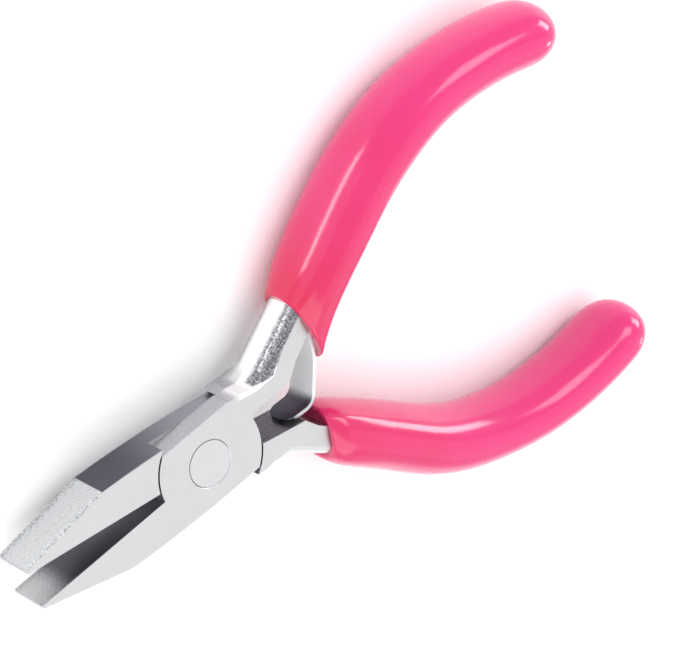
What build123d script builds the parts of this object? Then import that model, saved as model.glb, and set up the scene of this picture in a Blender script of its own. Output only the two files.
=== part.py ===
"""Small flat-nose pliers with a lap joint, a leaf return spring and slip-on sleeves.

The tool lies flat.  +X runs from the pivot to the handles, +Y is the side of the upper
handle, +Z is the pivot axis and points out of the head's front face.  The origin is on the
pivot axis in the head's rear face.  Both levers have one profile, drawn with the jaws shut:
the front lever is that profile, and the rear lever is the same profile turned over.
"""

from build123d import *
from math import asin, cos, radians, sin, sqrt
import os

os.makedirs("parts", exist_ok=True)

# Driving dimensions, in millimetres and degrees
HEAD_THICKNESS = 7.7
HEAD_HALF_WIDTH = 6.6
LAP_GAP = 0.04  # running gap between the two half-thickness bosses
JAW_LENGTH = 33.8  # pivot axis to the jaw tip
TIP_THICKNESS = 0.5
BEVEL_START = (-18.6, -5.5)  # where the nose bevel leaves the jaw's outer edge
BELLY_MIDDLE = (-9.5, -6.25)
JAW_SIDE_RADIUS = 9.25  # the boss's two round ends
HANDLE_SIDE_RADIUS = 9.7
POCKET_GAP = 0.3  # from the boss to the wall that it turns inside
REST_ANGLE = 5.13  # each lever's turn from shut, held by the spring

RIVET_SHAFT_RADIUS = 2.5
RIVET_HEAD_RADIUS = 3.8
RIVET_HEAD_DEPTH = 1.6
RIVET_RIM = 0.1  # broken edge round the flush heads
RIVET_CLEARANCE = 0.05

SLEEVE_ANGLE = 32.8  # direction of the straight part of the handle, jaws shut
SLEEVE_START = (24.74, 8.98)  # a point on the sleeve's centreline near its mouth
SLEEVE_STRAIGHT = 17.8
SLEEVE_BEND_RADIUS = 44.5
SLEEVE_BEND_ANGLE = 35.4
SLEEVE_TAIL_RADIUS = 57.0
UPPER_TAIL_ANGLE = 15.4
LOWER_TAIL_ANGLE = 17.2
SLEEVE_HALF_WIDTH = 5.4
SLEEVE_HALF_THICKNESS = 7.1
SLEEVE_DOME = 6.5  # length of the rounded end
MOUTH_SETBACK = 1.3  # mouth centre ahead of SLEEVE_START, towards the head
MOUTH_TILT = 24.0  # mouth plane's turn from square to the centreline
MOUTH_FILLET = 0.9

TANG_WIDTH = 4.4
TANG_OFFSET = 0.8  # tang centreline outside the sleeve's centreline
TANG_TAIL_ANGLE = 14.0
SHANK_CONCAVE_RADIUS = 12.0
SHANK_CONCAVE_ANGLE = 43.0
SHANK_FILLET = 2.2
SHOULDER_TOP = [(5.6, 6.6), (7.6, 6.4), (9.4, 6.25), (11.2, 5.75), (12.6, 5.96), (14.2, 6.71)]
SHOULDER_FOOT = (14.2, 2.3)
RUN_OUT_START = (9.0, 6.3)  # the shoulder's square corners run out into the neck's rounding
RUN_OUT_END = (14.2, 6.71)
RUN_OUT_DEPTH = 1.29
SHANK_ROUNDED_ABOVE = 3.2  # a line between the outer and inner edges
SHANK_SLOPE = 0.35
SHANK_TURN = (-9.4, 3.8)  # where the concave neck meets the straight part
SHANK_END = 5.0  # the neck ends inside the tang
TANG_START = 3.0
SHANK_ROOT = (6.8, 1.9)
SPRING_FLAT_START = (9.4, 1.9)  # inner flat that the other lever's spring presses on
SPRING_FLAT_END = (18.2, 2.4)
INNER_CORNER = -6.2

SPRING_THICKNESS = 0.6
SPRING_WIDTH = 5.8
SPRING_ANCHOR = 8.5  # length of leaf under the sleeve, from SLEEVE_START
SPRING_FOOT_FILLET = 2.4
SPRING_SEAT = 0.02  # gap between the leaf and the tang
SPRING_RIVET_AT = 5.0
SPRING_RIVET_RADIUS = 1.0
SPRING_RIVET_HEAD = (1.5, 0.4)  # radius and height
SPRING_RIVET_DEPTH = 2.6
SPRING_KNEE = [(23.9, 4.6), (20.75, -3.05)]
SPRING_TOE = (15.2, -3.2)
SPRING_RADII = [2.0, 10.0, 2.2]
POCKET_MARGIN = 0.2
POCKET_FLOOR = -2.8
POCKET_TURN = -1.0
POCKET_EXIT = (-4.8, -7.07)

HALF = HEAD_THICKNESS / 2
LAP = HALF + LAP_GAP / 2  # local height where a lever's half boss begins
MOUTH_RUN_IN = 9.0

# Local frames: x along the shut jaws' plane to the handles, y to the lever's own handle
rest = radians(REST_ANGLE)
front_frame = Plane(origin=(0, 0, 0), x_dir=(cos(rest), sin(rest), 0), z_dir=(0, 0, 1))
rear_frame = Plane(
    origin=(0, 0, HEAD_THICKNESS), x_dir=(cos(rest), -sin(rest), 0), z_dir=(0, 0, -1)
)

along = (cos(radians(SLEEVE_ANGLE)), sin(radians(SLEEVE_ANGLE)))
outward = (-along[1], along[0])


def beside_sleeve(distance, offset):
    """The point that far along the sleeve's straight centreline, and that far outside it."""
    return (
        SLEEVE_START[0] + distance * along[0] + offset * outward[0],
        SLEEVE_START[1] + distance * along[1] + offset * outward[1],
    )


def sleeve_path(frame, start, offset, tail_angle):
    """The handle's centreline from start, in the frame, set outwards by offset."""
    turned = radians(SLEEVE_ANGLE - SLEEVE_BEND_ANGLE)
    first_heading = frame.x_dir * along[0] + frame.y_dir * along[1]
    second_heading = frame.x_dir * cos(turned) + frame.y_dir * sin(turned)
    with BuildLine(frame) as path:
        straight = Line(beside_sleeve(start, offset), beside_sleeve(SLEEVE_STRAIGHT, offset))
        bend_radius = SLEEVE_BEND_RADIUS + offset
        bend = JernArc(straight @ 1, first_heading, bend_radius, -SLEEVE_BEND_ANGLE)
        JernArc(bend @ 1, second_heading, SLEEVE_TAIL_RADIUS + offset, -tail_angle)
    return path


def boss_corner(radius):
    """How far along the head a boss end of that radius meets the flat edges."""
    return sqrt(radius**2 - HEAD_HALF_WIDTH**2)


def head_outline(frame):
    """Jaw and boss of one lever, in one face."""
    jaw_corner = boss_corner(JAW_SIDE_RADIUS)
    handle_corner = boss_corner(HANDLE_SIDE_RADIUS)
    arc_angle = asin(HEAD_HALF_WIDTH / JAW_SIDE_RADIUS) / 2
    arc_middle = (-JAW_SIDE_RADIUS * cos(arc_angle), JAW_SIDE_RADIUS * sin(arc_angle))
    with BuildSketch(frame) as outline:
        with BuildLine():
            face = Line((-JAW_LENGTH, 0), (-JAW_SIDE_RADIUS, 0))
            left = ThreePointArc(face @ 1, arc_middle, (-jaw_corner, HEAD_HALF_WIDTH))
            top = Line(left @ 1, (handle_corner, HEAD_HALF_WIDTH))
            right_end = (handle_corner, -HEAD_HALF_WIDTH)
            right = ThreePointArc(top @ 1, (HANDLE_SIDE_RADIUS, 0), right_end)
            bottom = Line(right @ 1, (0, -HEAD_HALF_WIDTH))
            belly = ThreePointArc(bottom @ 1, BELLY_MIDDLE, BEVEL_START)
            bevel = Line(belly @ 1, (-JAW_LENGTH, -TIP_THICKNESS))
            Line(bevel @ 1, face @ 0)
        make_face()
    return outline


def pocket_outline(frame):
    """The space in a lever that the other lever's boss turns in."""
    jaw_side = JAW_SIDE_RADIUS + POCKET_GAP
    handle_side = HANDLE_SIDE_RADIUS + POCKET_GAP
    with BuildSketch(frame) as outline:
        with BuildLine():
            CenterArc((0, 0), handle_side, -90, 180)
            Line((0, handle_side), (0, jaw_side))
            CenterArc((0, 0), jaw_side, 90, 180)
            Line((0, -jaw_side), (0, -handle_side))
        make_face()
    return outline


def shank_outline(frame):
    """The neck between boss and sleeve, begun inside the boss."""
    turn = Vector(*beside_sleeve(*SHANK_TURN))
    outer_end = Vector(*beside_sleeve(SHANK_END, TANG_OFFSET + TANG_WIDTH / 2))
    inner_edge = TANG_OFFSET - TANG_WIDTH / 2
    with BuildSketch(frame) as outline:
        with BuildLine():
            concave = JernArc(
                turn, turn - outer_end, SHANK_CONCAVE_RADIUS, -SHANK_CONCAVE_ANGLE
            )
            Polyline(
                turn,
                outer_end,
                beside_sleeve(SHANK_END, inner_edge),
                beside_sleeve(INNER_CORNER, inner_edge),
                SPRING_FLAT_END,
                SPRING_FLAT_START,
                SHANK_ROOT,
                concave @ 1,
            )
        make_face()
    return outline


def shoulder_outline(frame):
    """The square start of the neck, before its outer side is rounded."""
    top = list(reversed(SHOULDER_TOP))
    with BuildSketch(frame) as outline:
        with BuildLine():
            Polyline((0, 0), SHANK_ROOT, SPRING_FLAT_START, SHOULDER_FOOT, *top, close=True)
        make_face()
    return outline


def make_shoulder(frame):
    """The square shoulder, with a facet on each face that runs out its outer corner."""
    outline = shoulder_outline(frame)
    with BuildPart() as shoulder:
        add(outline.sketch)
        extrude(amount=HEAD_THICKNESS, dir=frame.z_dir)
        for face, inwards in ((0, 1), (HEAD_THICKNESS, -1)):
            start = frame.from_local_coords(Vector(*RUN_OUT_START, face))
            beside = Vector(RUN_OUT_END[0], RUN_OUT_END[1] - RUN_OUT_DEPTH, face)
            below = Vector(*RUN_OUT_END, face + inwards * RUN_OUT_DEPTH)
            first = frame.from_local_coords(beside) - start
            second = frame.from_local_coords(below) - start
            facet = Plane(origin=start, z_dir=first.cross(second) * inwards)
            split(bisect_by=facet, keep=Keep.TOP)
    return shoulder


def tang_outline(frame):
    """The bar inside the sleeve, with a round end."""
    path = sleeve_path(Plane.XY, TANG_START, TANG_OFFSET, TANG_TAIL_ANGLE)
    with BuildSketch(frame) as outline:
        with BuildLine():
            offset(path.line, amount=TANG_WIDTH / 2, side=Side.BOTH)
        make_face()
    return outline


def long_outer_edge(edge, frame):
    """True on the shank's outer edges, which are rounded on both faces of the tool."""
    middle = frame.to_local_coords(edge @ 0.5)
    on_face = abs(middle.Z - HALF) > HALF - 0.01
    outside = middle.Y > SHANK_ROUNDED_ABOVE + SHANK_SLOPE * middle.X
    return on_face and outside


def make_shank(frame):
    """The neck as a bar with its outer side rounded."""
    outline = shank_outline(frame)
    with BuildPart() as shank:
        add(outline.sketch)
        extrude(amount=HEAD_THICKNESS, dir=frame.z_dir)
        rounded = [edge for edge in shank.edges() if long_outer_edge(edge, frame)]
        fillet(rounded, SHANK_FILLET)
    return shank


def make_lever(frame, clearance):
    """One lever: full thickness at jaw and shank, half thickness where the bosses lap."""
    shank = make_shank(frame)
    head = head_outline(frame)
    shoulder = make_shoulder(frame)
    tang = tang_outline(frame)
    pocket = pocket_outline(frame)
    face = HEAD_THICKNESS
    with BuildPart() as lever:
        add(head.sketch)
        add(tang.sketch)
        extrude(amount=face, dir=frame.z_dir)
        add(shoulder.part)
        add(shank.part)
        add(pocket.sketch)
        extrude(amount=LAP, dir=frame.z_dir, mode=Mode.SUBTRACT)
        with BuildSketch(frame.offset(LAP)):
            Circle(RIVET_SHAFT_RADIUS + clearance)
        extrude(amount=face, dir=frame.z_dir, mode=Mode.SUBTRACT)
        with BuildSketch(frame.offset(face - RIVET_HEAD_DEPTH)):
            Circle(RIVET_SHAFT_RADIUS + clearance)
        with BuildSketch(frame.offset(face - RIVET_RIM)):
            Circle(RIVET_HEAD_RADIUS + clearance)
        loft(mode=Mode.SUBTRACT)
        with BuildSketch(frame.offset(face - RIVET_RIM)):
            Circle(RIVET_HEAD_RADIUS + clearance)
        with BuildSketch(frame.offset(face)):
            Circle(RIVET_HEAD_RADIUS + clearance + RIVET_RIM)
        loft(mode=Mode.SUBTRACT)
    return lever


def make_sleeve(frame, tail_angle, spring_pocket):
    """A soft sleeve on the tang: oval section, oblique mouth, domed end."""
    path = sleeve_path(frame.offset(HALF), -MOUTH_RUN_IN, 0, tail_angle)
    tang = tang_outline(frame)
    shank = shank_outline(frame)
    section = Plane(origin=path.line @ 0, x_dir=frame.z_dir, z_dir=path.line % 0)
    mouth = beside_sleeve(-MOUTH_SETBACK, 0)
    mouth_angle = radians(SLEEVE_ANGLE - MOUTH_TILT)
    mouth_normal = frame.x_dir * cos(mouth_angle) + frame.y_dir * sin(mouth_angle)
    mouth_plane = Plane(origin=frame.from_local_coords(Vector(*mouth, HALF)), z_dir=mouth_normal)
    end_section = Plane(origin=path.line @ 1, x_dir=frame.z_dir, z_dir=path.line % 1)
    dome_size = (SLEEVE_HALF_THICKNESS, SLEEVE_HALF_WIDTH, SLEEVE_DOME)
    dome = end_section.location * scale(Sphere(1), by=dome_size)
    with BuildPart() as sleeve:
        with BuildSketch(section):
            Ellipse(SLEEVE_HALF_THICKNESS, SLEEVE_HALF_WIDTH)
        sweep(path=path.line)
        add(dome)
        split(bisect_by=mouth_plane, keep=Keep.TOP)
        mouth_edge = sleeve.faces().filter_by(GeomType.PLANE).sort_by(Axis.X)[0].edges()
        fillet(mouth_edge, MOUTH_FILLET)
        add(tang.sketch)
        add(shank.sketch)
        extrude(amount=HEAD_THICKNESS, dir=frame.z_dir, mode=Mode.SUBTRACT)
        if spring_pocket:
            pocket_low = HALF - SPRING_WIDTH / 2 - POCKET_MARGIN
            with BuildSketch(frame.offset(pocket_low)):
                with BuildLine():
                    Polyline(
                        beside_sleeve(-MOUTH_RUN_IN, 0),
                        beside_sleeve(SPRING_ANCHOR + POCKET_MARGIN, 0),
                        beside_sleeve(SPRING_ANCHOR + POCKET_MARGIN, POCKET_FLOOR),
                        beside_sleeve(POCKET_TURN, POCKET_FLOOR),
                        beside_sleeve(*POCKET_EXIT),
                        beside_sleeve(-MOUTH_RUN_IN, POCKET_EXIT[1]),
                        close=True,
                    )
                make_face()
            pocket_width = SPRING_WIDTH + 2 * POCKET_MARGIN
            extrude(amount=pocket_width, dir=frame.z_dir, mode=Mode.SUBTRACT)
    return sleeve


def on_toe(edge):
    """True on the two short corners of the spring's free end."""
    across = edge.length < 1.5 * SPRING_THICKNESS
    return across and (edge @ 0.5).X < SPRING_TOE[0] + 1


def make_leaf():
    """The return spring: flat on the tang, bent across the gap, foot on the other lever."""
    seat = TANG_OFFSET - TANG_WIDTH / 2 - SPRING_SEAT - SPRING_THICKNESS / 2
    anchor = front_frame.from_local_coords(Vector(*beside_sleeve(SPRING_ANCHOR, seat), 0))
    departure = front_frame.from_local_coords(Vector(*beside_sleeve(-0.9, seat), 0))
    corners = [(anchor.X, anchor.Y), (departure.X, departure.Y), *SPRING_KNEE, SPRING_TOE]
    with BuildLine(Plane.XY.offset(HALF)) as bent:
        FilletPolyline(*corners, radius=SPRING_RADII)
    strip = Plane(origin=bent.line @ 0, x_dir=(0, 0, 1), z_dir=bent.line % 0)
    with BuildPart() as leaf:
        with BuildSketch(strip):
            Rectangle(SPRING_WIDTH, SPRING_THICKNESS)
        sweep(path=bent.line)
    return leaf


tang_face = TANG_OFFSET - TANG_WIDTH / 2
rivet_seat = Vector(*beside_sleeve(SPRING_RIVET_AT, tang_face), HALF)
rivet_outward = front_frame.y_dir * outward[1] + front_frame.x_dir * outward[0]
rivet_plane = Plane(origin=front_frame.from_local_coords(rivet_seat), z_dir=rivet_outward)

plain_lever = make_lever(front_frame, 0)
with BuildPart() as front_lever:
    add(plain_lever.part)
    with BuildSketch(rivet_plane):
        Circle(SPRING_RIVET_RADIUS)
    extrude(amount=SPRING_RIVET_DEPTH, mode=Mode.SUBTRACT)
front_lever.part.label = "front_lever"
export_step(front_lever.part, "parts/front_lever.step")

rear_lever = make_lever(rear_frame, RIVET_CLEARANCE)
rear_lever.part.label = "rear_lever"
export_step(rear_lever.part, "parts/rear_lever.step")

with BuildPart() as pivot_rivet:
    with BuildSketch(Plane.XZ):
        with BuildLine():
            Polyline(
                (0, 0),
                (RIVET_HEAD_RADIUS - RIVET_RIM, 0),
                (RIVET_HEAD_RADIUS, RIVET_RIM),
                (RIVET_SHAFT_RADIUS, RIVET_HEAD_DEPTH),
                (RIVET_SHAFT_RADIUS, HEAD_THICKNESS - RIVET_HEAD_DEPTH),
                (RIVET_HEAD_RADIUS, HEAD_THICKNESS - RIVET_RIM),
                (RIVET_HEAD_RADIUS - RIVET_RIM, HEAD_THICKNESS),
                (0, HEAD_THICKNESS),
                close=True,
            )
        make_face()
    revolve(axis=Axis.Z)
pivot_rivet.part.label = "pivot_rivet"
export_step(pivot_rivet.part, "parts/pivot_rivet.step")

leaf_thickness = SPRING_SEAT + SPRING_THICKNESS
plain_leaf = make_leaf()
with BuildPart() as leaf_spring:
    add(plain_leaf.part)
    toe_edges = [edge for edge in leaf_spring.edges() if on_toe(edge)]
    fillet(toe_edges, SPRING_FOOT_FILLET)
    with BuildSketch(rivet_plane.offset(-1)):
        Circle(SPRING_RIVET_RADIUS)
    extrude(amount=2, mode=Mode.SUBTRACT)
leaf_spring.part.label = "leaf_spring"
export_step(leaf_spring.part, "parts/leaf_spring.step")

with BuildPart() as spring_rivet:
    with BuildSketch(rivet_plane.offset(-leaf_thickness)):
        Circle(SPRING_RIVET_RADIUS)
    extrude(amount=leaf_thickness + SPRING_RIVET_DEPTH)
    with BuildSketch(rivet_plane.offset(-leaf_thickness)):
        Circle(SPRING_RIVET_HEAD[0])
    extrude(amount=-SPRING_RIVET_HEAD[1])
spring_rivet.part.label = "spring_rivet"
export_step(spring_rivet.part, "parts/spring_rivet.step")

upper_grip = make_sleeve(front_frame, UPPER_TAIL_ANGLE, True)
upper_grip.part.label = "upper_grip"
export_step(upper_grip.part, "parts/upper_grip.step")

lower_grip = make_sleeve(rear_frame, LOWER_TAIL_ANGLE, False)
lower_grip.part.label = "lower_grip"
export_step(lower_grip.part, "parts/lower_grip.step")

metal = [front_lever, rear_lever, pivot_rivet, leaf_spring, spring_rivet]
for piece in [*metal, upper_grip, lower_grip]:
    made = piece.part
    print(made.label, round(made.volume, 2), len(made.solids()), made.is_valid)
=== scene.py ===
# %% [markdown]
# # Small flat-nose pliers
# This lesson dresses a finished engineering model of a pair of jewellery pliers. The two
# steel levers, the pivot rivet and the little spring rivet already have their right shape,
# so they only need good finishes. The soft sleeves and the leaf spring are modelled again
# here: the sleeves for their thin lips, and the spring as a thin strip with rounded bends.

# %% Load the model
import bmesh
import bpy
from math import atan2, cos, pi, radians, sin, sqrt, tan
from mathutils import Matrix, Quaternion, Vector


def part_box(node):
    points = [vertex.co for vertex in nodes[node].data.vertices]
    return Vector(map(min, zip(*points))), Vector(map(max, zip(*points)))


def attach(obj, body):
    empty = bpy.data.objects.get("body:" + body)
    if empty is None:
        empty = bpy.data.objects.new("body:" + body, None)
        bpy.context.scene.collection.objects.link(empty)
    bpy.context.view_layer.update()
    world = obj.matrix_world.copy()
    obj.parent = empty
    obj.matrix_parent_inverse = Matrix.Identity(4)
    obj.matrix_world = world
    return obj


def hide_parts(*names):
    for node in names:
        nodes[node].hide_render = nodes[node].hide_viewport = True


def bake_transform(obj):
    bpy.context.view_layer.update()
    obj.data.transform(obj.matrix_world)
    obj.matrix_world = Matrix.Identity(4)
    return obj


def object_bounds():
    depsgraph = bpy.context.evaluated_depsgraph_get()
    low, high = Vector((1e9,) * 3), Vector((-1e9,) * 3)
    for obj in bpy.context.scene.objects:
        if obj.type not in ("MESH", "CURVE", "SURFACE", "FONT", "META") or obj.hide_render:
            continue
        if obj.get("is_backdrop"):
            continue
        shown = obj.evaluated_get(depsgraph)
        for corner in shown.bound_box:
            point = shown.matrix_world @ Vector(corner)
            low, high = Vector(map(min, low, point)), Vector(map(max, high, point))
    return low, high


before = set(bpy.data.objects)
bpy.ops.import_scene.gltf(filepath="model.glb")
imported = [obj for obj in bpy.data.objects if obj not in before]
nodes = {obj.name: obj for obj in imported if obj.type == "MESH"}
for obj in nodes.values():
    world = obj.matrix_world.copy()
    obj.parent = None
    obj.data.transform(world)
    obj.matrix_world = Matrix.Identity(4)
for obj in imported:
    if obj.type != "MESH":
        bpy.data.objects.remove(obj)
cad_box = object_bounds()

# %% [markdown]
# Everything is in metres, but pliers are thought of in millimetres, so a small helper
# turns one into the other. The pivot axis is the Z axis, the handles point along +X and
# the middle of the thickness is where the two levers lap.

# %% Measures shared by all the pieces
MM = 0.001
TURNED_OPEN = 5.13  # degrees that the spring turns each lever from shut
low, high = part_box("front_lever")
MIDDLE = (low.z + high.z) / 2
HEAD_THICKNESS = (high.z - low.z) / MM


def mm(*numbers):
    """A point or size given in millimetres, as a vector in metres."""
    return Vector(numbers) * MM


print("head thickness mm", round(HEAD_THICKNESS, 2))

# %% [markdown]
# ## The camera
# The camera looks down on the tool from in front of the jaws, and it is rolled far over,
# so that the jaws point to the lower left. It is placed with an azimuth, an elevation and
# a distance from the point it looks at, and then turned round its own line of sight.

# %% Camera
AIM = mm(31.55, 4.54, 3.85)
AZIMUTH, ELEVATION, ROLL = radians(130.4), radians(47.6), radians(112.2)
DISTANCE = 435 * MM
LENS = 148.6


def direction(azimuth, elevation):
    """The unit vector that points that way from the object."""
    flat = cos(elevation)
    return Vector((flat * cos(azimuth), flat * sin(azimuth), sin(elevation)))


def add_camera():
    towards = direction(AZIMUTH, ELEVATION)
    turned = towards.to_track_quat("Z", "Y") @ Quaternion((0, 0, 1), ROLL)
    bpy.ops.object.camera_add(location=AIM + towards * DISTANCE, rotation=turned.to_euler())
    camera = bpy.context.object
    camera.name = "camera"
    camera.data.lens = LENS
    camera.data.sensor_fit = "HORIZONTAL"
    camera.data.sensor_width = 36
    camera.data.clip_start = 0.01
    return camera


bpy.context.scene.camera = add_camera()
print("camera at", tuple(round(c, 3) for c in bpy.context.scene.camera.location))

# %% [markdown]
# ## Floor and light
# A pale floor touches the sleeves, which are the lowest parts of the tool. The light is
# that of a white tent: a bright even surround, a few large soft panels, and some narrow
# strips that give the round sleeves their long highlights. The tent is bright, so the steel
# is made darker than it would be in plain daylight. Nothing here is part of the object.

# %% Floor
FLOOR_SIZE = 6.0


def add_floor():
    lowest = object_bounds()[0][2]
    bpy.ops.mesh.primitive_plane_add(size=FLOOR_SIZE, location=(0, 0, lowest))
    floor = bpy.context.object
    floor.name = "floor"
    paper = bpy.data.materials.new("white paper")
    paper.use_nodes = True
    paper.node_tree.nodes["Principled BSDF"].inputs["Base Color"].default_value = (0.97,) * 3 + (1,)
    paper.node_tree.nodes["Principled BSDF"].inputs["Roughness"].default_value = 0.5
    floor.data.materials.append(paper)
    bpy.ops.object.transform_apply(location=True)
    floor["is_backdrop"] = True
    return floor


bpy.ops.object.select_all(action="DESELECT")
floor = add_floor()
print("floor at mm", round(floor.data.vertices[0].co.z / MM, 2))

# %% Light
SURROUND = 1.0


def add_panel(name, azimuth, elevation, distance, size, power):
    """A rectangular soft light that faces the middle of the tool."""
    towards = direction(radians(azimuth), radians(elevation))
    turned = towards.to_track_quat("Z", "Y")
    bpy.ops.object.light_add(type="AREA", location=AIM + towards * distance,
                             rotation=turned.to_euler())
    panel = bpy.context.object
    panel.name = name
    panel.data.shape = "RECTANGLE"
    panel.data.size, panel.data.size_y = size
    panel.data.energy = power
    return panel


def add_surround():
    world = bpy.data.worlds.new("white tent")
    bpy.context.scene.world = world
    world.use_nodes = True
    sky = world.node_tree.nodes["Background"]
    sky.inputs["Color"].default_value = (0.97, 0.98, 1.0, 1)
    sky.inputs["Strength"].default_value = SURROUND


add_surround()
add_panel("front softbox", -50, 52, 1.2, (1.2, 1.2), 1.8)
add_panel("jaw side softbox", -140, 42, 1.2, (1.3, 1.1), 6.5)
add_panel("outer side strip", 119, 3, 0.8, (0.42, 0.12), 1.3)
add_panel("low softbox", 142, 24, 1.2, (1.4, 0.6), 1.2)
add_panel("tail softbox", 42, 46, 0.9, (0.34, 0.28), 1.2)
add_panel("inner side strip", 10, 17, 0.8, (0.36, 0.2), 1.7)
add_panel("lip spot", -38, 14, 0.8, (0.12, 0.1), 0.3)
bpy.context.scene.view_settings.view_transform = "Standard"

# %% [markdown]
# ## A small language for finishes
# A finish is a tree of nodes. Wiring nodes by hand is slow to read, so one class wraps a
# socket and lets ordinary Python arithmetic add the Math nodes, and one method adds every
# other kind of node.

# %% Shader helpers
FIRST_COLOUR, SECOND_COLOUR = 6, 7  # the Mix node's colour sockets, by number
UNDER_TENT = 0.74  # the share of a steel colour that is kept under the bright tent


class Value:
    """A node's output that Python's + - * can work on."""

    def __init__(self, tree, socket):
        self.tree, self.socket = tree, socket

    def math(self, operation, first, second=0.0):
        made = self.tree.node("ShaderNodeMath", {"operation": operation}, {0: first, 1: second})
        return made["Value"]

    def __add__(self, other):
        return self.math("ADD", self, other)

    def __radd__(self, other):
        return self.math("ADD", other, self)

    def __sub__(self, other):
        return self.math("SUBTRACT", self, other)

    def __rsub__(self, other):
        return self.math("SUBTRACT", other, self)

    def __mul__(self, other):
        return self.math("MULTIPLY", self, other)

    def __rmul__(self, other):
        return self.math("MULTIPLY", other, self)

    def __neg__(self):
        return self.math("MULTIPLY", self, -1.0)

    def __abs__(self):
        return self.math("ABSOLUTE", self)

    def at_least(self, lowest):
        return self.math("MAXIMUM", self, lowest)


class Finish:
    """A material with one Principled shader, and the tree that feeds it."""

    def __init__(self, name):
        self.material = bpy.data.materials.new(name)
        self.material.use_nodes = True
        self.tree = self.material.node_tree
        self.shader = self.tree.nodes["Principled BSDF"]

    def node(self, kind, settings=None, inputs=None):
        """Adds a node, sets its settings, then its sockets; returns its outputs by name."""
        made = self.tree.nodes.new(kind)
        for key, setting in (settings or {}).items():
            setattr(made, key, setting)
        for key, value in (inputs or {}).items():
            self.feed(made.inputs[key], value)
        return {out.name: Value(self, out) for out in made.outputs if out.enabled}

    def feed(self, socket, value):
        if isinstance(value, Value):
            self.tree.links.new(value.socket, socket)
        else:
            socket.default_value = value

    def step(self, value, low, high):
        """0 below low, 1 above high, and smooth between them."""
        settings = {"interpolation_type": "SMOOTHSTEP"}
        inputs = {"Value": value, "From Min": low, "From Max": high}
        return self.node("ShaderNodeMapRange", settings, inputs)["Result"]

    def between(self, value, low, high, soft):
        """1 from low to high, with soft edges."""
        rising = self.step(value, low - soft, low + soft)
        return rising * self.step(-value, -high - soft, soft - high)

    def mix(self, factor, first, second):
        """The first colour where the factor is 0, the second where it is 1."""
        settings = {"data_type": "RGBA"}
        inputs = {"Factor": factor, FIRST_COLOUR: self.colour(first), SECOND_COLOUR: self.colour(second)}
        return self.node("ShaderNodeMix", settings, inputs)["Result"]

    def colour(self, value):
        return value if isinstance(value, Value) else (*value, 1)

    def shaded(self, colour):
        """The colour as it has to be under the bright tent."""
        return self.mix(1 - UNDER_TENT, colour, (0, 0, 0))

    def blend(self, factor, first, second):
        """The first number where the factor is 0, the second where it is 1."""
        return first + factor * (second - first)

    def noise(self, place, scale, detail=2.0, rough=0.5):
        inputs = {"Vector": place, "Scale": scale, "Detail": detail, "Roughness": rough}
        return self.node("ShaderNodeTexNoise", {}, inputs)["Fac"]

    def bump(self, height, strength, distance):
        inputs = {"Height": height, "Strength": strength, "Distance": distance}
        return self.node("ShaderNodeBump", {}, inputs)["Normal"]

    def finish(self, **sockets):
        """Feeds the shader's sockets, named with _ for each space."""
        for name, value in sockets.items():
            self.feed(self.shader.inputs[name.replace("_", " ")], value)
        return self.material


def grey(level, warmth=0.0):
    """A nearly neutral colour, a little warmer or cooler."""
    return (level * (1 + warmth), level, level * (1 - warmth))


def dress(obj, material):
    obj.data.materials.clear()
    obj.data.materials.append(material)


# %% [markdown]
# ## Lever steel
# The levers are forged, and then each surface is finished in its own way. The two broad
# faces are ground flat and satin. The edges of the jaws and their inner faces are smooth, and
# carry a painted dark reflection that is darkest towards the tip; the nose bevels are blasted to
# a coarse sparkle, and the necks are tumbled until they shine. One material does all of it, by
# asking where a point is on the shut lever and which way the surface faces there. The bright
# side and the dark speckled band of each neck are painted reflection, with painted shade
# greying the neck towards the back face: they are laid on by place, and stand in for what a
# rounder, mirror-bright neck would reflect. The fine bright specks on the rims are part wear,
# part painted highlight.

# %% Lever steel finish
NOSE = -18.6  # where the blasted bevel begins, mm from the pivot
# The neck's tumbled finish and its painted reflection begin beyond a line on the broad face, in mm on
# the shut lever.
# The line is level in the crook, rises along the shank, and rises gently towards the head.
FACE_LINE = 4.85
SHANK_FROM, SHANK_RISE = 15.8, 0.88
CROOK_TO, CROOK_RISE = 12, 0.2
# The dark of the specks in each neck's painted dark reflection band.
DARK_REFLECTION_SPECKLE = (0.11, 0.105, 0.125)


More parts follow.
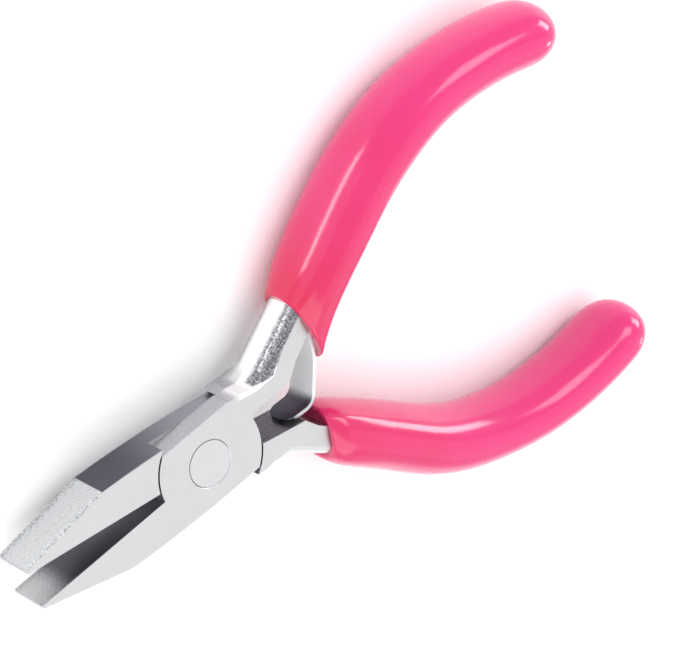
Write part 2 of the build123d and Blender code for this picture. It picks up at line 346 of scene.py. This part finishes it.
def lever_steel(name, side):
    """side is 1 for the front lever and -1 for the rear one, which is turned over."""
    f = Finish(name)
    source = f.node("ShaderNodeTexCoord")
    turn = (0, 0, -side * radians(TURNED_OPEN))
    place = f.node("ShaderNodeMapping", {"vector_type": "POINT"},
                   {"Vector": source["Object"], "Rotation": turn, "Scale": (1000, 1000, 1000)})
    facing = f.node("ShaderNodeMapping", {"vector_type": "VECTOR"},
                    {"Vector": source["Normal"], "Rotation": turn})
    mm_place = place["Vector"]
    where = f.node("ShaderNodeSeparateXYZ", {}, {"Vector": mm_place})
    way = f.node("ShaderNodeSeparateXYZ", {}, {"Vector": facing["Vector"]})
    x, y = where["X"], where["Y"] * side
    up, out = abs(way["Z"]), way["Y"] * side

    level = where["Z"] if side > 0 else HEAD_THICKNESS - where["Z"]
    line = FACE_LINE + (x - SHANK_FROM).at_least(0) * SHANK_RISE
    line = line + (CROOK_TO - x).at_least(0) * CROOK_RISE
    beyond = y - line
    neck = f.step(x, 7.5, 10.5) * f.step(level, 3.5, 4.5)
    # Beyond that line the neck's painted reflection covers the broad face too.
    on_band = neck * f.step(beyond, -0.12, 0.12)
    shank = f.step(x, 9.8, 12.4)
    ground = f.step(up, 0.93, 0.985) * (1 - on_band)
    outer_edge = f.step(-out, 0.3, 0.6)
    top_edge = f.step(out, 0.3, 0.6)
    nose = f.step(-x, -NOSE - 0.1, -NOSE + 0.1) * outer_edge
    jaw_face = top_edge * f.step(-x, 9.0, 9.4)
    pad = outer_edge * f.step(x, 7.0, 8.0) * (1 - f.step(x, 17.9, 18.4))

    grain = f.noise(mm_place, 3.2, 3.0, 0.75)
    fine = f.noise(mm_place, 14.0, 2.0, 0.6)
    cloud = f.noise(mm_place, 0.25, 2.0, 0.5)
    streak_place = f.node("ShaderNodeMapping", {}, {"Vector": mm_place, "Rotation": (0, 0, 0.6),
                                                    "Scale": (0.6, 7.0, 7.0)})
    streak = f.noise(streak_place["Vector"], 1.6, 3.0, 0.6)
    near_back = 1 - f.step(where["Z"] + grain * 0.8, 0.5, 2.2)
    near_front = f.step(where["Z"] + (grain - 0.5) * 1.5, 6.6, 7.15)
    rim = 1 - f.between(where["Z"], 0.22, 7.48, 0.12)

    satin = f.mix(cloud * 0.5 + grain * 0.4, grey(0.68, 0.0), grey(0.80, 0.0))
    # Painted dark reflection on the jaw edges, darkest towards the tip, with lighter specks.
    jaw_edge_dark_reflection = f.mix(f.step(x, -14, 4), (0.075, 0.073, 0.102), (0.44, 0.43, 0.48))
    jaw_edge_dark_reflection = f.mix(f.step(fine, 0.35, 0.75) * 0.25, jaw_edge_dark_reflection, grey(0.45, -0.03))
    pitted = f.blend(near_back, 0.16, 0.75) + near_front * 0.5
    blasted = f.mix(f.step(grain, 0.40, 0.55), grey(0.14, -0.02), grey(1.0, -0.01))
    blasted = f.mix(pitted, grey(0.78, -0.008), blasted)
    blasted = f.mix(near_back * 0.35, blasted, grey(0.45, -0.02))
    lap = f.mix(f.step(grain, 0.3, 0.7), (0.50, 0.485, 0.525), (0.68, 0.665, 0.705))
    # Painted dark reflection on the inner jaw faces, darker towards the tip.
    inner = f.mix(f.step(-x, 8, 25), (0.70, 0.67, 0.74), (0.19, 0.18, 0.21))
    shut = f.mix(f.step(-x + grain * 3.0, 28.5, 32.5), inner, blasted)
    # Painted light on the neck: grey as painted shade near the back face, white as painted reflection
    # above it.
    painted_light_by_height = f.step(where["Z"] + (grain - 0.5) * 2.4, 0.0, 2.8)
    painted_neck_light = f.mix(painted_light_by_height, grey(0.46), grey(1.0))
    # The painted dark reflection band along each neck, speckled, just beyond the line.
    crook = 1 - f.step(x, 11.5, 15.0)
    inside = f.step(beyond, crook * 0.6, 0.3 + crook * 0.9).at_least(f.step(x, 15.5, 17.5))
    painted_dark_band = inside * f.step(level, 4.0, 6.2)
    painted_dark_band = painted_dark_band * (1 - crook * f.step(beyond, 3.2, 4.8))
    dots = f.step(grain * 0.5 + fine * 0.5 + painted_dark_band * 0.3, 0.60, 0.84)
    # The neck's colour: its painted reflection, with the dark band's specks laid on it.
    neck_painted_reflection = f.mix(painted_dark_band * dots, painted_neck_light, DARK_REFLECTION_SPECKLE)
    scratched = f.mix(f.step(streak, 0.3, 0.7), (0.14, 0.135, 0.16), (0.36, 0.35, 0.39))

    edge = f.mix(outer_edge, lap, jaw_edge_dark_reflection)
    edge = f.mix(shank * (1 - outer_edge), edge, neck_painted_reflection)
    edge = f.mix(shank * outer_edge, edge, satin)
    edge = f.mix(on_band, edge, neck_painted_reflection)
    edge = f.mix(pad, edge, scratched)
    edge = f.mix(nose, edge, blasted)
    edge = f.mix(jaw_face, edge, shut)
    # Light specks along the rims: part wear, part painted highlight of the light the edges catch.
    rim_wear_and_highlight = rim * f.step(fine, 0.3, 0.5) * (1 - shank) * (1 - nose)
    edge = f.mix(rim_wear_and_highlight * 0.8, edge, grey(0.9, -0.01))
    colour = f.mix(ground, edge, satin)

    rough = f.blend(ground, f.blend(nose, 0.30, 0.5), 0.36) + fine * 0.08
    height = fine * 0.25 + nose * (1 - ground) * grain * 1.2 + pad * streak * 0.6
    # Painted highlight: here the neck's colour is not darkened for the bright tent, so it shows near
    # white.
    painted_bright_zone = f.step(x, 12.2, 14.5) * (1 - outer_edge) * f.step(level, 1.0, 3.6)
    painted_bright_zone = f.step(painted_bright_zone + on_band, 0, 1) * (1 - ground)
    colour = f.mix(painted_bright_zone, f.shaded(colour), neck_painted_reflection)
    return f.finish(Base_Color=colour, Metallic=1.0, Roughness=rough,
                    Normal=f.bump(height, 0.35, 0.00012))


dress(nodes["front_lever"], lever_steel("front lever steel", 1))
dress(nodes["rear_lever"], lever_steel("rear lever steel", -1))
print("levers dressed")

# %% [markdown]
# ## Rivets
# The pivot rivet was ground flush with the head, so only a fine dark ring shows where it
# ends. Its face has the head's satin finish, and the ring is drawn by distance from the axis.

# %% Rivet finish
RIVET_RING = 3.7  # mm from the axis


def rivet_steel():
    f = Finish("rivet steel")
    source = f.node("ShaderNodeTexCoord")
    place = f.node("ShaderNodeMapping", {}, {"Vector": source["Object"], "Scale": (1000,) * 3})
    mm_place = place["Vector"]
    across = f.node("ShaderNodeVectorMath", {"operation": "MULTIPLY"},
                    {0: mm_place, 1: (1, 1, 0)})["Vector"]
    radius = f.node("ShaderNodeVectorMath", {"operation": "LENGTH"}, {0: across})["Value"]
    cloud = f.noise(mm_place, 0.3, 2.0, 0.5)
    fine = f.noise(mm_place, 14.0, 2.0, 0.6)
    ring = f.between(radius, RIVET_RING, RIVET_RING + 0.2, 0.03)
    satin = f.mix(cloud * 0.5 + fine * 0.3, grey(0.71, -0.004), grey(0.83, -0.004))
    colour = f.mix(ring * 0.8, satin, grey(0.12))
    return f.finish(Base_Color=f.shaded(colour), Metallic=1.0, Roughness=0.34 + fine * 0.08,
                    Normal=f.bump(fine, 0.2, 0.00008))


rivets = rivet_steel()
dress(nodes["pivot_rivet"], rivets)
dress(nodes["spring_rivet"], rivets)

# %% [markdown]
# ## The sleeves
# Each handle has a dipped vinyl sleeve: an oval tube with a domed end, and a thin soft lip
# that closes in round the neck. A ring of points is the start. It is extruded ring by ring
# towards the lip, tilting and changing its oval, turned in to make the lip's wall, and closed inside.
# Then the first ring is drawn back along the handle, spun through its two bends and closed
# with a dome. One flank of each is a little fuller by the first bend. The sleeve is built
# lying along X, and only then turned and moved to its handle.

# %% Editing helpers
def edit(obj):
    """Selects only this object and opens it for editing."""
    bpy.ops.object.select_all(action="DESELECT")
    obj.select_set(True)
    bpy.context.view_layer.objects.active = obj
    bpy.ops.object.mode_set(mode="EDIT")


def leave_edit():
    bpy.ops.object.mode_set(mode="OBJECT")


def pick(obj, test, mode="VERT"):
    """Selects the points whose place passes the test, and nothing else."""
    bpy.ops.mesh.select_mode(type=mode)
    bpy.ops.mesh.select_all(action="DESELECT")
    mesh = bmesh.from_edit_mesh(obj.data)
    for vertex in mesh.verts:
        vertex.select = test(vertex.co)
    mesh.select_flush(True)
    bmesh.update_edit_mesh(obj.data)


def apply_modifier(obj, kind, **settings):
    """Adds a modifier, sets it and applies it at once."""
    bpy.ops.object.select_all(action="DESELECT")
    obj.select_set(True)
    bpy.context.view_layer.objects.active = obj
    modifier = obj.modifiers.new(kind.lower(), kind)
    for name, setting in settings.items():
        setattr(modifier, name, setting)
    bpy.ops.object.modifier_apply(modifier=modifier.name)


# %% Sleeve sizes
SLEEVE_ORIGIN = mm(23.84, 11.15, 3.85)  # on the sleeve's centreline near its lip
SLEEVE_HEADING = radians(37.93)
HALF_WIDTH, HALF_THICKNESS = 5.48, 7.12
STRAIGHT_END = 17.8
FIRST_BEND = (44.5, 35.4, 9)  # radius, degrees, steps
UPPER_TAIL, LOWER_TAIL = (57.0, 15.4, 5), (57.0, 17.2, 5)
DOME = 6.5
WALL = 0.75
LIP_DEPTH = 0.6  # how far inside the lip the vinyl closes on the handle
RING_POINTS = 32
# The fuller flank: how far out it goes, how far along, how wide its core, how far it blends
SWELL, SWELL_AT, SWELL_CORE, SWELL_REACH = 0.6, 23.0, 5.0, 15.0
# Rings from the full section to the lip, in millimetres and degrees: how far along, how far
# outwards, half width, half thickness, tilt, and how square the oval is
UPPER_LIP = [
    (9.0, -0.05, 5.45, 7.0, 2.0, 0.0),
    (6.0, -0.15, 5.5, 6.75, 7.0, 0.01),
    (3.6, -0.35, 5.65, 6.3, 13.0, 0.02),
    (1.6, -0.7, 6.0, 5.9, 18.5, 0.03),
    (0.0, -1.05, 6.4, 5.5, 23.0, 0.04),
    (-1.55, -1.5, 6.98, 5.25, 26.0, 0.05),
]
LOWER_LIP = [
    (9.0, 0.05, 5.45, 7.05, 2.0, 0.0),
    (6.0, 0.1, 5.45, 6.95, 6.0, 0.02),
    (3.0, 0.15, 5.4, 6.7, 12.0, 0.04),
    (0.5, 0.2, 5.35, 6.3, 17.0, 0.06),
    (-1.3, 0.25, 5.25, 5.9, 22.0, 0.08),
    (-2.5, 0.4, 5.0, 5.25, 26.0, 0.09),
    (-3.4, 0.45, 4.65, 4.85, 28.0, 0.10),
]


# %% Build a sleeve
def turn_ring(angle, centre):
    """Turns the selected ring about Z. With no window the operator turns the other way."""
    if abs(angle) > 1e-6:
        bpy.ops.transform.rotate(value=-angle, orient_axis="Z", center_override=centre)


def draw_to(sleeve, old, new):
    """Extrudes the selected ring from one lip section to the next."""
    here, there = mm(old[0], old[1], 0), mm(new[0], new[1], 0)
    bpy.ops.mesh.extrude_region_move(TRANSFORM_OT_translate={"value": there - here})
    turn_ring(radians(old[4]), there)
    size = (1, new[2] / old[2], new[3] / old[3])
    bpy.ops.transform.resize(value=size, center_override=there)
    square_up(sleeve, new, (1 + new[5]) / (1 + old[5]))
    turn_ring(-radians(new[4]), there)


def square_up(sleeve, ring, grow):
    """Pushes the four rounded corners of the selected upright ring outwards."""
    mesh = bmesh.from_edit_mesh(sleeve.data)
    whole = [vertex.index for vertex in mesh.verts if vertex.select]
    centre = mm(ring[0], ring[1], 0)
    for lowest, highest in ((20, 70), (34, 56)):
        mesh = bmesh.from_edit_mesh(sleeve.data)
        mesh.verts.ensure_lookup_table()
        bpy.ops.mesh.select_all(action="DESELECT")
        for index in whole:
            across = mesh.verts[index].co - centre
            slope = atan2(abs(across.z) / ring[3], abs(across.y) / ring[2])
            mesh.verts[index].select = radians(lowest) < slope < radians(highest)
        bpy.ops.transform.resize(value=(1, sqrt(grow), sqrt(grow)), center_override=centre)
    mesh = bmesh.from_edit_mesh(sleeve.data)
    mesh.verts.ensure_lookup_table()
    bpy.ops.mesh.select_all(action="DESELECT")
    for index in whole:
        mesh.verts[index].select = True
    mesh.select_flush(True)
    bmesh.update_edit_mesh(sleeve.data)


def close_lip(sleeve, lip):
    """Turns the last ring inwards for the lip's wall, and closes the vinyl inside it."""
    along, out, wide, thick, tilt, square = lip[-1]
    wall = (along, out, wide - WALL, thick - WALL, tilt, square)
    bottom = (along + LIP_DEPTH, out, wide - WALL - 0.15, thick - WALL - 0.05, tilt - 2, square)
    draw_to(sleeve, lip[-1], wall)
    draw_to(sleeve, wall, bottom)
    bpy.ops.mesh.edge_face_add()


def spin_bend(start, heading, radius, angle, steps):
    """Spins the selected ring through one bend; returns where it ends and its heading."""
    centre = start + Vector((sin(heading), -cos(heading), 0)) * radius * MM
    bpy.ops.mesh.spin(steps=steps, angle=radians(angle), center=centre, axis=(0, 0, 1))
    turned = heading - radians(angle)
    end = centre + Vector((-sin(turned), cos(turned), 0)) * radius * MM
    return end, turned


def close_dome(start, heading, length):
    """Ends the tube with a dome drawn ring by ring."""
    forward = Vector((cos(heading), sin(heading), 0))
    reached, width = 0.0, 1.0
    for angle in (18, 36, 52, 66, 78):
        along, narrow = sin(radians(angle)), cos(radians(angle)) ** 0.8
        move = forward * (along - reached) * length * MM
        bpy.ops.mesh.extrude_region_move(TRANSFORM_OT_translate={"value": move})
        centre = start + forward * along * length * MM
        bpy.ops.transform.resize(value=(narrow / width,) * 3, center_override=centre)
        reached, width = along, narrow
    move = forward * (1 - reached) * length * MM
    bpy.ops.mesh.extrude_region_move(TRANSFORM_OT_translate={"value": move})
    bpy.ops.mesh.merge(type="CENTER")


def swell(sleeve, side):
    """Fills out one flank by the first bend: the inner one above, the outer one below."""
    flank = mm(SWELL_AT, -side * HALF_WIDTH, 0)
    pick(sleeve, lambda co: (co - flank).length < SWELL_CORE * MM)
    bpy.ops.transform.translate(value=mm(0, -side * SWELL, 0), use_proportional_edit=True,
                                proportional_edit_falloff="SMOOTH",
                                proportional_size=SWELL_REACH * MM)


def make_sleeve(name, lip, tail, side):
    full = (12.0, 0.0, HALF_WIDTH, HALF_THICKNESS, 0.0, 0.0)
    bpy.ops.object.select_all(action="DESELECT")
    bpy.ops.mesh.primitive_circle_add(vertices=RING_POINTS, radius=1, fill_type="NOTHING",
                                      rotation=(0, pi / 2, 0), location=mm(full[0], 0, 0))
    sleeve = bpy.context.object
    sleeve.name = name
    # the circle lies across X: its own X axis is the thickness, its own Y the width
    sleeve.scale = (HALF_THICKNESS * MM, HALF_WIDTH * MM, 1)
    bpy.ops.object.transform_apply(location=True, rotation=True, scale=True)
    edit(sleeve)
    bpy.ops.mesh.select_all(action="SELECT")
    for old, new in zip([full, *lip], lip):
        draw_to(sleeve, old, new)
    close_lip(sleeve, lip)
    pick(sleeve, lambda co: co.x > (full[0] - 0.1) * MM)
    run = (STRAIGHT_END - full[0]) * MM
    bpy.ops.mesh.extrude_region_move(TRANSFORM_OT_translate={"value": (run, 0, 0)})
    end, heading = mm(STRAIGHT_END, 0, 0), 0.0
    for radius, angle, steps in (FIRST_BEND, tail):
        end, heading = spin_bend(end, heading, radius, angle, steps)
    close_dome(end, heading, DOME)
    swell(sleeve, side)
    leave_edit()
    place_sleeve(sleeve, side)
    apply_modifier(sleeve, "SUBSURF", levels=2, render_levels=2)
    bpy.ops.object.shade_smooth()
    return sleeve


def place_sleeve(sleeve, side):
    """Turns the finished tube to its handle; side is 1 for the upper one, -1 for the lower."""
    sleeve.scale = (1, side, 1)
    sleeve.rotation_euler = (0, 0, side * SLEEVE_HEADING)
    origin = SLEEVE_ORIGIN
    sleeve.location = (origin.x, side * origin.y, origin.z)
    bpy.ops.object.transform_apply(location=True, rotation=True, scale=True)
    edit(sleeve)
    bpy.ops.mesh.select_all(action="SELECT")
    bpy.ops.mesh.remove_doubles(threshold=0.00001)
    bpy.ops.mesh.normals_make_consistent(inside=False)
    leave_edit()


upper_sleeve = make_sleeve("upper_sleeve", UPPER_LIP, UPPER_TAIL, 1)
lower_sleeve = make_sleeve("lower_sleeve", LOWER_LIP, LOWER_TAIL, -1)
for sleeve in (upper_sleeve, lower_sleeve):
    corners = [Vector(corner) / MM for corner in sleeve.bound_box]
    print(sleeve.name, "mm from", [round(min(c[i] for c in corners), 2) for i in range(3)],
          "to", [round(max(c[i] for c in corners), 2) for i in range(3)])

# %% [markdown]
# Dipped vinyl is glossy and a little translucent, with a faint unevenness where it flowed
# and set. The pink is warmest near the lip and turns a little cooler towards the domed end.

# %% Vinyl finish
def vinyl():
    f = Finish("pink vinyl")
    source = f.node("ShaderNodeTexCoord")
    place = f.node("ShaderNodeMapping", {}, {"Vector": source["Object"], "Scale": (1000,) * 3})
    mm_place = place["Vector"]
    where = f.node("ShaderNodeSeparateXYZ", {}, {"Vector": mm_place})
    flow = f.noise(mm_place, 0.06, 2.0, 0.5)
    skin = f.noise(mm_place, 0.9, 3.0, 0.55)
    dust = f.noise(mm_place, 9.0, 2.0, 0.5)
    warm, cool = (0.57, 0.004, 0.052), (0.64, 0.013, 0.150)
    pink = f.mix(f.step(where["X"] + flow * 24, 24, 66), warm, cool)
    pink = f.mix(f.step(flow, 0.35, 0.65) * 0.35, pink, (0.64, 0.024, 0.16))
    pink = f.mix(f.step(dust, 0.62, 0.75) * 0.10, pink, (0.8, 0.25, 0.38))
    rough = 0.16 + skin * 0.05
    f.shader.inputs["IOR"].default_value = 1.46
    f.shader.inputs["Coat Weight"].default_value = 0.38
    f.shader.inputs["Coat Roughness"].default_value = 0.11
    f.shader.inputs["Subsurface Weight"].default_value = 0.10
    f.shader.inputs["Subsurface Scale"].default_value = 0.0015
    return f.finish(Base_Color=pink, Roughness=rough,
                    Normal=f.bump(skin + flow * 2.0, 0.10, 0.0002))


pink_vinyl = vinyl()
for sleeve in (upper_sleeve, lower_sleeve):
    dress(sleeve, pink_vinyl)
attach(upper_sleeve, "front_half")
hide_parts("upper_grip")
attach(lower_sleeve, "rear_half")
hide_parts("lower_grip")

# %% [markdown]
# ## The leaf spring
# A strip of spring steel is riveted under the upper sleeve, comes out of its lip, crosses
# the gap and rests its rounded foot on the lower lever. It is drawn as a flat strip with
# sharp corners, and the corners are bevelled into bends.

# %% Leaf spring
SPRING_WIDTH, SPRING_THICKNESS = 5.8, 0.6
SPRING_RUN = [(31.60, 15.02), (24.19, 9.24), (23.9, 4.6), (20.75, -3.05), (15.2, -3.2)]
SPRING_BENDS = [2.0, 10.0, 2.2]
TOE_ROUNDING = 2.4


def bend_setback(before, corner, after, radius):
    """How far from a corner its bend begins."""
    first, second = corner - before, after - corner
    return radius * tan(first.angle(second) / 2)


def make_spring():
    points = [mm(x, y, 0) for x, y in SPRING_RUN]
    first = points[1] - points[0]
    bpy.ops.object.select_all(action="DESELECT")
    bpy.ops.mesh.primitive_plane_add(size=1)
    leaf = bpy.context.object
    leaf.name = "leaf_spring_strip"
    heading = Vector((1, 0, 0)).rotation_difference(first).to_euler()
    leaf.scale = (first.length, SPRING_WIDTH * MM, 1)
    turned = Matrix.Rotation(heading.z, 3, "Z") @ Matrix.Rotation(pi / 2, 3, "X")
    leaf.rotation_euler = turned.to_euler()
    leaf.location = (points[0] + points[1]) / 2 + Vector((0, 0, MIDDLE))
    bpy.ops.object.transform_apply(location=True, rotation=True, scale=True)
    edit(leaf)
    pick(leaf, lambda co: (co.xy - points[1].xy).length < 0.1 * MM)
    for old, new in zip(points[1:], points[2:]):
        bpy.ops.mesh.extrude_region_move(TRANSFORM_OT_translate={"value": new - old})
    for index, radius in enumerate(SPRING_BENDS, start=1):
        corner = points[index]
        setback = bend_setback(points[index - 1], corner, points[index + 1], radius * MM)
        pick(leaf, lambda co: (co.xy - corner.xy).length < 0.1 * MM)
        bpy.ops.mesh.bevel(offset=setback, offset_type="OFFSET", segments=8, profile=0.5,
                           affect="EDGES", clamp_overlap=False)
    pick(leaf, lambda co: (co.xy - points[4].xy).length < 0.1 * MM)
    bpy.ops.mesh.bevel(offset=TOE_ROUNDING * MM, segments=8, affect="VERTICES")
    leave_edit()
    return leaf


leaf = make_spring()
print("spring strip points", len(leaf.data.vertices))

# %% [markdown]
# The strip gets a few more rows of points on its straight runs, and then its thickness and
# a fine broken edge.

# %% Spring rows and thickness
SPRING_ROWS = [7.5, 6.7, 2.2, 1.3, 0.4, -0.5, -1.2]  # where the strip gets a row, mm along Y


def finish_spring(leaf):
    edit(leaf)
    bpy.ops.mesh.select_all(action="SELECT")
    bpy.ops.mesh.remove_doubles(threshold=0.000001)
    for row in SPRING_ROWS:
        bpy.ops.mesh.select_all(action="SELECT")
        bpy.ops.mesh.bisect(plane_co=mm(0, row, 0), plane_no=(0, 1, 0))
    bpy.ops.mesh.select_all(action="SELECT")
    bpy.ops.mesh.normals_make_consistent(inside=False)
    leave_edit()
    apply_modifier(leaf, "SOLIDIFY", thickness=SPRING_THICKNESS * MM, offset=0)
    apply_modifier(leaf, "BEVEL", width=0.07 * MM, segments=2, limit_method="ANGLE",
                   angle_limit=radians(50))
    bpy.ops.object.shade_smooth_by_angle(angle=radians(35))


finish_spring(leaf)
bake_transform(leaf)
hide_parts("leaf_spring")
print("spring faces", len(leaf.data.polygons))

# %% [markdown]
# Spring steel is rolled, so its satin has faint lines along the strip. The foot, where it
# rests on the other lever, is painted dark as shade, and the front edge is painted an even,
# darker grey as shade, so that it catches less light.

# %% Spring finish
def spring_steel():
    f = Finish("spring steel")
    source = f.node("ShaderNodeTexCoord")
    place = f.node("ShaderNodeMapping", {}, {"Vector": source["Object"], "Scale": (1000,) * 3})
    mm_place = place["Vector"]
    where = f.node("ShaderNodeSeparateXYZ", {}, {"Vector": mm_place})
    lines_place = f.node("ShaderNodeMapping", {}, {"Vector": mm_place, "Scale": (0.12, 0.12, 6)})
    lines = f.noise(lines_place["Vector"], 2.0, 3.0, 0.6)
    fine = f.noise(mm_place, 12.0, 2.0, 0.6)
    y, z = where["Y"], where["Z"]
    # The foot is painted dark, as shade where it rests on the other lever.
    shaded_foot = f.step(-y, 1.2, 2.8)
    satin = f.mix(lines * 0.7 + fine * 0.2, grey(0.80, -0.01), grey(0.97, -0.01))
    painted_foot_shade = f.mix(fine, (0.055, 0.052, 0.075), (0.12, 0.115, 0.145))
    colour = f.mix(shaded_foot, satin, painted_foot_shade)
    # The front edge is painted a darker grey as shade, so that it catches less light.
    edge = f.step(z, 6.55, 6.72)
    colour = f.mix(edge * 0.7, colour, grey(0.7))
    return f.finish(Base_Color=colour, Metallic=f.blend(shaded_foot, 0.25, 1.0),
                    Roughness=0.30 + lines * 0.12,
                    Normal=f.bump(lines + fine * 0.3, 0.2, 0.00006))


dress(leaf, spring_steel())

# %% Sizes and finish
dressed_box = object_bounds()
sizes = {"cad": [list(corner) for corner in cad_box], "visual": [list(corner) for corner in dressed_box]}
for name, corners in sizes.items():
    print(name, "mm", [round((b - a) / MM, 2) for a, b in zip(*corners)])
